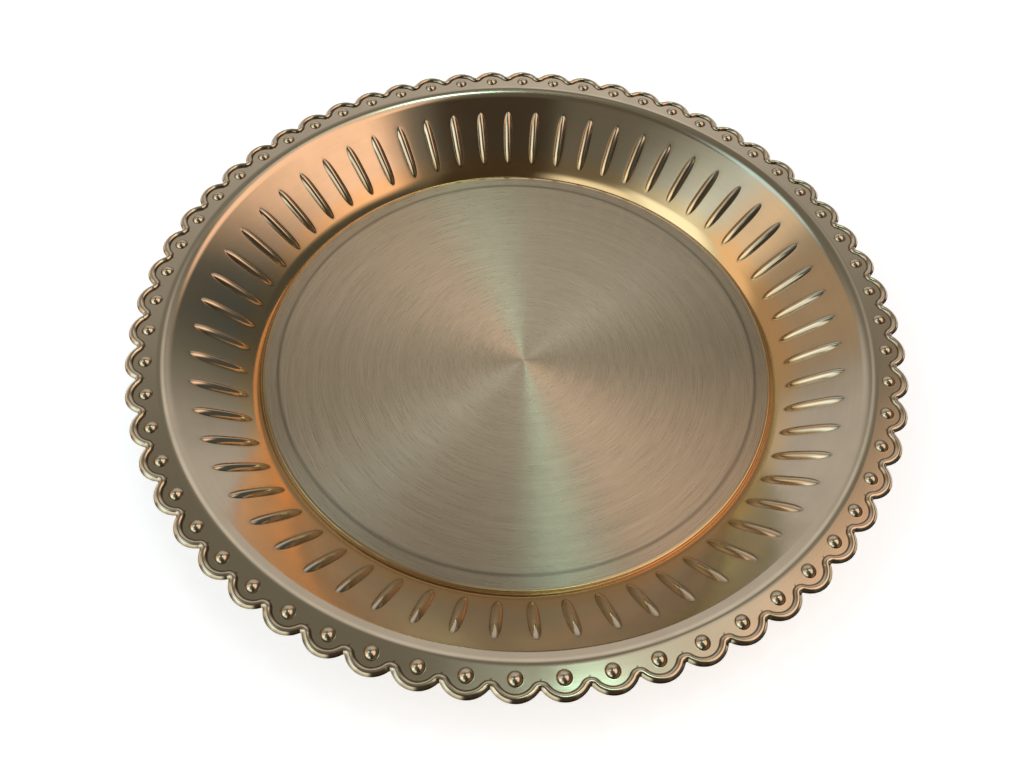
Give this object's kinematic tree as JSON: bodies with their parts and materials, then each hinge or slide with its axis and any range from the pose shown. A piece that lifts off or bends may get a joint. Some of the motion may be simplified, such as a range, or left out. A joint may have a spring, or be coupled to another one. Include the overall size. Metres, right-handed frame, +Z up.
{
  "type": "round serving tray",
  "caption": "Round pressed-metal serving tray with a brushed flat floor, a sloping fluted wall and a flat flange with domed bosses and a scalloped, beaded edge.",
  "frame": {"origin": "on the tray's axis, in the plane of the foot ring's underside", "axes": "+Z up along the tray's axis; +X and +Y each point at the middle of a scallop"},
  "size_m": [0.3, 0.3, 0.0301],
  "materials": {
    "brushed_gold": "stainless steel with a champagne-gold coat, brushed in circles",
    "polished_gold": "stainless steel with a champagne-gold coat, polished"
  },
  "bodies": {
    "root": {"floor_panel": "brushed_gold", "foot_ring": "polished_gold", "fluted_wall": "polished_gold", "rim_flange": "polished_gold", "scalloped_edge": "polished_gold"}
  },
  "joints": []
}
